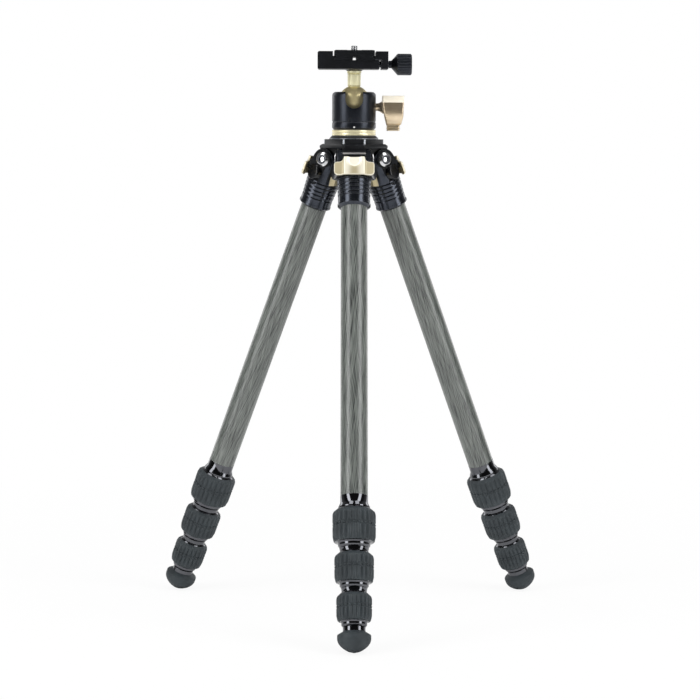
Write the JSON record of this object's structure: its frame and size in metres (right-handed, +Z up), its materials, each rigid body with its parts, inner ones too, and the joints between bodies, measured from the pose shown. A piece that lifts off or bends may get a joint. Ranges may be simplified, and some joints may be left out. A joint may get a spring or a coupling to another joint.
{
  "type": "camera tripod",
  "caption": "Folding camera tripod with telescoping twist-lock legs, a gold-trimmed ball head and a quick release clamp.",
  "frame": {"origin": "base of the camera screw, on the top face of the camera plate", "axes": "+Z up along the camera screw; -Y towards the front leg, which faces the picture's camera; +X towards the lock knobs"},
  "size_m": [0.3744, 0.3283, 0.5448],
  "materials": {
    "black_anodised": "satin black anodised",
    "gloss_black": "gloss black anodised",
    "gold_anodised": "champagne gold anodised, fine bead blast",
    "steel": "polished stainless steel",
    "carbon_tube": "satin wound carbon fibre tube",
    "rubber": "matt moulded rubber",
    "level_glass": "tinted bubble level"
  },
  "bodies": {
    "hub": {"hub": "black_anodised", "pivot_bolts": "steel", "stop_pins": "steel"},
    "column": {"centre_column": "black_anodised", "platform": "black_anodised", "pan_base": "gold_anodised"},
    "column_lock": {"column_lock": "gold_anodised"},
    "housing": {"ball_housing": "black_anodised"},
    "lever": {"main_lever": "gold_anodised"},
    "pan_knob": {"pan_knob": "black_anodised"},
    "ball": {"ball": "gold_anodised"},
    "stem": {"ball_stem": "gold_anodised"},
    "clamp": {"clamp_body": "black_anodised", "bubble_level": "level_glass"},
    "jaw": {"clamp_jaw": "black_anodised"},
    "clamp_knob": {"clamp_knob": "black_anodised"},
    "plate": {"camera_plate": "black_anodised"},
    "screw": {"camera_screw": "steel"},
    "front_leg": {"front_leg_root": "black_anodised", "front_tube_1": "carbon_tube", "front_collar_1": "gloss_black"},
    "front_latch": {"front_angle_latch": "gold_anodised"},
    "front_grip_1": {"front_grip_1": "rubber"},
    "front_section_2": {"front_tube_2": "carbon_tube", "front_collar_2": "gloss_black"},
    "front_grip_2": {"front_grip_2": "rubber"},
    "front_section_3": {"front_tube_3": "carbon_tube", "front_collar_3": "gloss_black"},
    "front_grip_3": {"front_grip_3": "rubber"},
    "front_section_4": {"front_tube_4": "carbon_tube", "front_ferrule": "gloss_black", "front_foot": "rubber"},
    "right_leg": {"right_leg_root": "black_anodised", "right_tube_1": "carbon_tube", "right_collar_1": "gloss_black"},
    "right_latch": {"right_angle_latch": "gold_anodised"},
    "right_grip_1": {"right_grip_1": "rubber"},
    "right_section_2": {"right_tube_2": "carbon_tube", "right_collar_2": "gloss_black"},
    "right_grip_2": {"right_grip_2": "rubber"},
    "right_section_3": {"right_tube_3": "carbon_tube", "right_collar_3": "gloss_black"},
    "right_grip_3": {"right_grip_3": "rubber"},
    "right_section_4": {"right_tube_4": "carbon_tube", "right_ferrule": "gloss_black", "right_foot": "rubber"},
    "left_leg": {"left_leg_root": "black_anodised", "left_tube_1": "carbon_tube", "left_collar_1": "gloss_black"},
    "left_latch": {"left_angle_latch": "gold_anodised"},
    "left_grip_1": {"left_grip_1": "rubber"},
    "left_section_2": {"left_tube_2": "carbon_tube", "left_collar_2": "gloss_black"},
    "left_grip_2": {"left_grip_2": "rubber"},
    "left_section_3": {"left_tube_3": "carbon_tube", "left_collar_3": "gloss_black"},
    "left_grip_3": {"left_grip_3": "rubber"},
    "left_section_4": {"left_tube_4": "carbon_tube", "left_ferrule": "gloss_black", "left_foot": "rubber"}
  },
  "joints": [
    {"name": "front_leg_swing", "type": "hinge", "parent": "hub", "child": "front_leg", "pos_m": [0, -0.025, -0.1033], "axis": [-1, 0, 0], "range_deg": [-22.3, 57.7]},
    {"name": "right_leg_swing", "type": "hinge", "parent": "hub", "child": "right_leg", "pos_m": [0.02165, 0.0125, -0.1033], "axis": [0.5, -0.866, 0], "range_deg": [-22.3, 57.7]},
    {"name": "left_leg_swing", "type": "hinge", "parent": "hub", "child": "left_leg", "pos_m": [-0.02165, 0.0125, -0.1033], "axis": [0.5, 0.866, 0], "range_deg": [-22.3, 57.7]},
    {"name": "column_slide", "type": "slide", "parent": "hub", "child": "column", "axis": [0, 0, 1], "range_m": [0, 0.055]},
    {"name": "column_lock_turn", "type": "hinge", "parent": "hub", "child": "column_lock", "pos_m": [0, 0, -0.1033], "axis": [0, 0, 1], "range_deg": [0, 12]},
    {"name": "pan", "type": "hinge", "parent": "column", "child": "housing", "pos_m": [0, 0, -0.1033], "axis": [0, 0, 1], "continuous": true},
    {"name": "ball_side_tilt", "type": "hinge", "parent": "housing", "child": "ball", "pos_m": [0, 0, -0.048], "axis": [0, 1, 0], "range_deg": [-18, 18]},
    {"name": "ball_fore_tilt", "type": "hinge", "parent": "ball", "child": "stem", "pos_m": [0, 0, -0.048], "axis": [1, 0, 0], "range_deg": [-20, 90]},
    {"name": "ball_spin", "type": "hinge", "parent": "stem", "child": "clamp", "pos_m": [0, 0, -0.048], "axis": [0, 0, 1], "continuous": true},
    {"name": "main_lever_turn", "type": "hinge", "parent": "housing", "child": "lever", "pos_m": [0.02, 0, -0.0534], "axis": [1, 0, 0], "range_deg": [0, 180]},
    {"name": "pan_knob_turn", "type": "hinge", "parent": "housing", "child": "pan_knob", "pos_m": [0, 0.02, -0.07135], "axis": [0, 1, 0], "range_deg": [0, 270]},
    {"name": "clamp_knob_turn", "type": "hinge", "parent": "jaw", "child": "clamp_knob", "pos_m": [0.04, 0, -0.0128], "axis": [1, 0, 0], "range_deg": [0, 900]},
    {"name": "jaw_slide", "type": "slide", "parent": "clamp", "child": "jaw", "axis": [1, 0, 0], "range_m": [0, 0.00251]},
    {"name": "plate_slide", "type": "slide", "parent": "clamp", "child": "plate", "axis": [0, 1, 0], "range_m": [-0.015, 0.015]},
    {"name": "camera_screw_turn", "type": "hinge", "parent": "plate", "child": "screw", "pos_m": [0, 0, 0], "axis": [0, 0, 1], "continuous": true},
    {"name": "front_latch_pull", "type": "slide", "parent": "front_leg", "child": "front_latch", "axis": [0, -0.9252, 0.3795], "range_m": [0, 0.0045], "stiffness_N_per_m": 300, "springref_m": -0.004},
    {"name": "front_section_2_slide", "type": "slide", "parent": "front_leg", "child": "front_section_2", "axis": [0, -0.3795, -0.9252], "range_m": [0, 0.27]},
    {"name": "front_section_3_slide", "type": "slide", "parent": "front_section_2", "child": "front_section_3", "axis": [0, -0.3795, -0.9252], "range_m": [0, 0.27]},
    {"name": "front_section_4_slide", "type": "slide", "parent": "front_section_3", "child": "front_section_4", "axis": [0, -0.3795, -0.9252], "range_m": [0, 0.27]},
    {"name": "front_grip_1_twist", "type": "hinge", "parent": "front_leg", "child": "front_grip_1", "pos_m": [0, -0.025, -0.1033], "axis": [0, -0.3795, -0.9252], "range_deg": [0, 90]},
    {"name": "front_grip_2_twist", "type": "hinge", "parent": "front_section_2", "child": "front_grip_2", "pos_m": [0, -0.025, -0.1033], "axis": [0, -0.3795, -0.9252], "range_deg": [0, 90]},
    {"name": "front_grip_3_twist", "type": "hinge", "parent": "front_section_3", "child": "front_grip_3", "pos_m": [0, -0.025, -0.1033], "axis": [0, -0.3795, -0.9252], "range_deg": [0, 90]},
    {"name": "right_latch_pull", "type": "slide", "parent": "right_leg", "child": "right_latch", "axis": [0.8013, 0.4626, 0.3795], "range_m": [0, 0.0045], "stiffness_N_per_m": 300, "springref_m": -0.004},
    {"name": "left_latch_pull", "type": "slide", "parent": "left_leg", "child": "left_latch", "axis": [-0.8013, 0.4626, 0.3795], "range_m": [0, 0.0045], "stiffness_N_per_m": 300, "springref_m": -0.004},
    {"name": "right_section_2_slide", "type": "slide", "parent": "right_leg", "child": "right_section_2", "axis": [0.3286, 0.1897, -0.9252], "range_m": [0, 0.27]},
    {"name": "right_section_3_slide", "type": "slide", "parent": "right_section_2", "child": "right_section_3", "axis": [0.3286, 0.1897, -0.9252], "range_m": [0, 0.27]},
    {"name": "right_section_4_slide", "type": "slide", "parent": "right_section_3", "child": "right_section_4", "axis": [0.3286, 0.1897, -0.9252], "range_m": [0, 0.27]},
    {"name": "right_grip_1_twist", "type": "hinge", "parent": "right_leg", "child": "right_grip_1", "pos_m": [0.02165, 0.0125, -0.1033], "axis": [0.3286, 0.1897, -0.9252], "range_deg": [0, 90]},
    {"name": "right_grip_2_twist", "type": "hinge", "parent": "right_section_2", "child": "right_grip_2", "pos_m": [0.02165, 0.0125, -0.1033], "axis": [0.3286, 0.1897, -0.9252], "range_deg": [0, 90]},
    {"name": "right_grip_3_twist", "type": "hinge", "parent": "right_section_3", "child": "right_grip_3", "pos_m": [0.02165, 0.0125, -0.1033], "axis": [0.3286, 0.1897, -0.9252], "range_deg": [0, 90]},
    {"name": "left_section_2_slide", "type": "slide", "parent": "left_leg", "child": "left_section_2", "axis": [-0.3286, 0.1897, -0.9252], "range_m": [0, 0.27]},
    {"name": "left_section_3_slide", "type": "slide", "parent": "left_section_2", "child": "left_section_3", "axis": [-0.3286, 0.1897, -0.9252], "range_m": [0, 0.27]},
    {"name": "left_section_4_slide", "type": "slide", "parent": "left_section_3", "child": "left_section_4", "axis": [-0.3286, 0.1897, -0.9252], "range_m": [0, 0.27]},
    {"name": "left_grip_1_twist", "type": "hinge", "parent": "left_leg", "child": "left_grip_1", "pos_m": [-0.02165, 0.0125, -0.1033], "axis": [-0.3286, 0.1897, -0.9252], "range_deg": [0, 90]},
    {"name": "left_grip_2_twist", "type": "hinge", "parent": "left_section_2", "child": "left_grip_2", "pos_m": [-0.02165, 0.0125, -0.1033], "axis": [-0.3286, 0.1897, -0.9252], "range_deg": [0, 90]},
    {"name": "left_grip_3_twist", "type": "hinge", "parent": "left_section_3", "child": "left_grip_3", "pos_m": [-0.02165, 0.0125, -0.1033], "axis": [-0.3286, 0.1897, -0.9252], "range_deg": [0, 90]}
  ],
  "couplings": [
    {"joint": "jaw_slide", "follows": "clamp_knob_turn", "m_per_rad": 0.00015915}
  ]
}
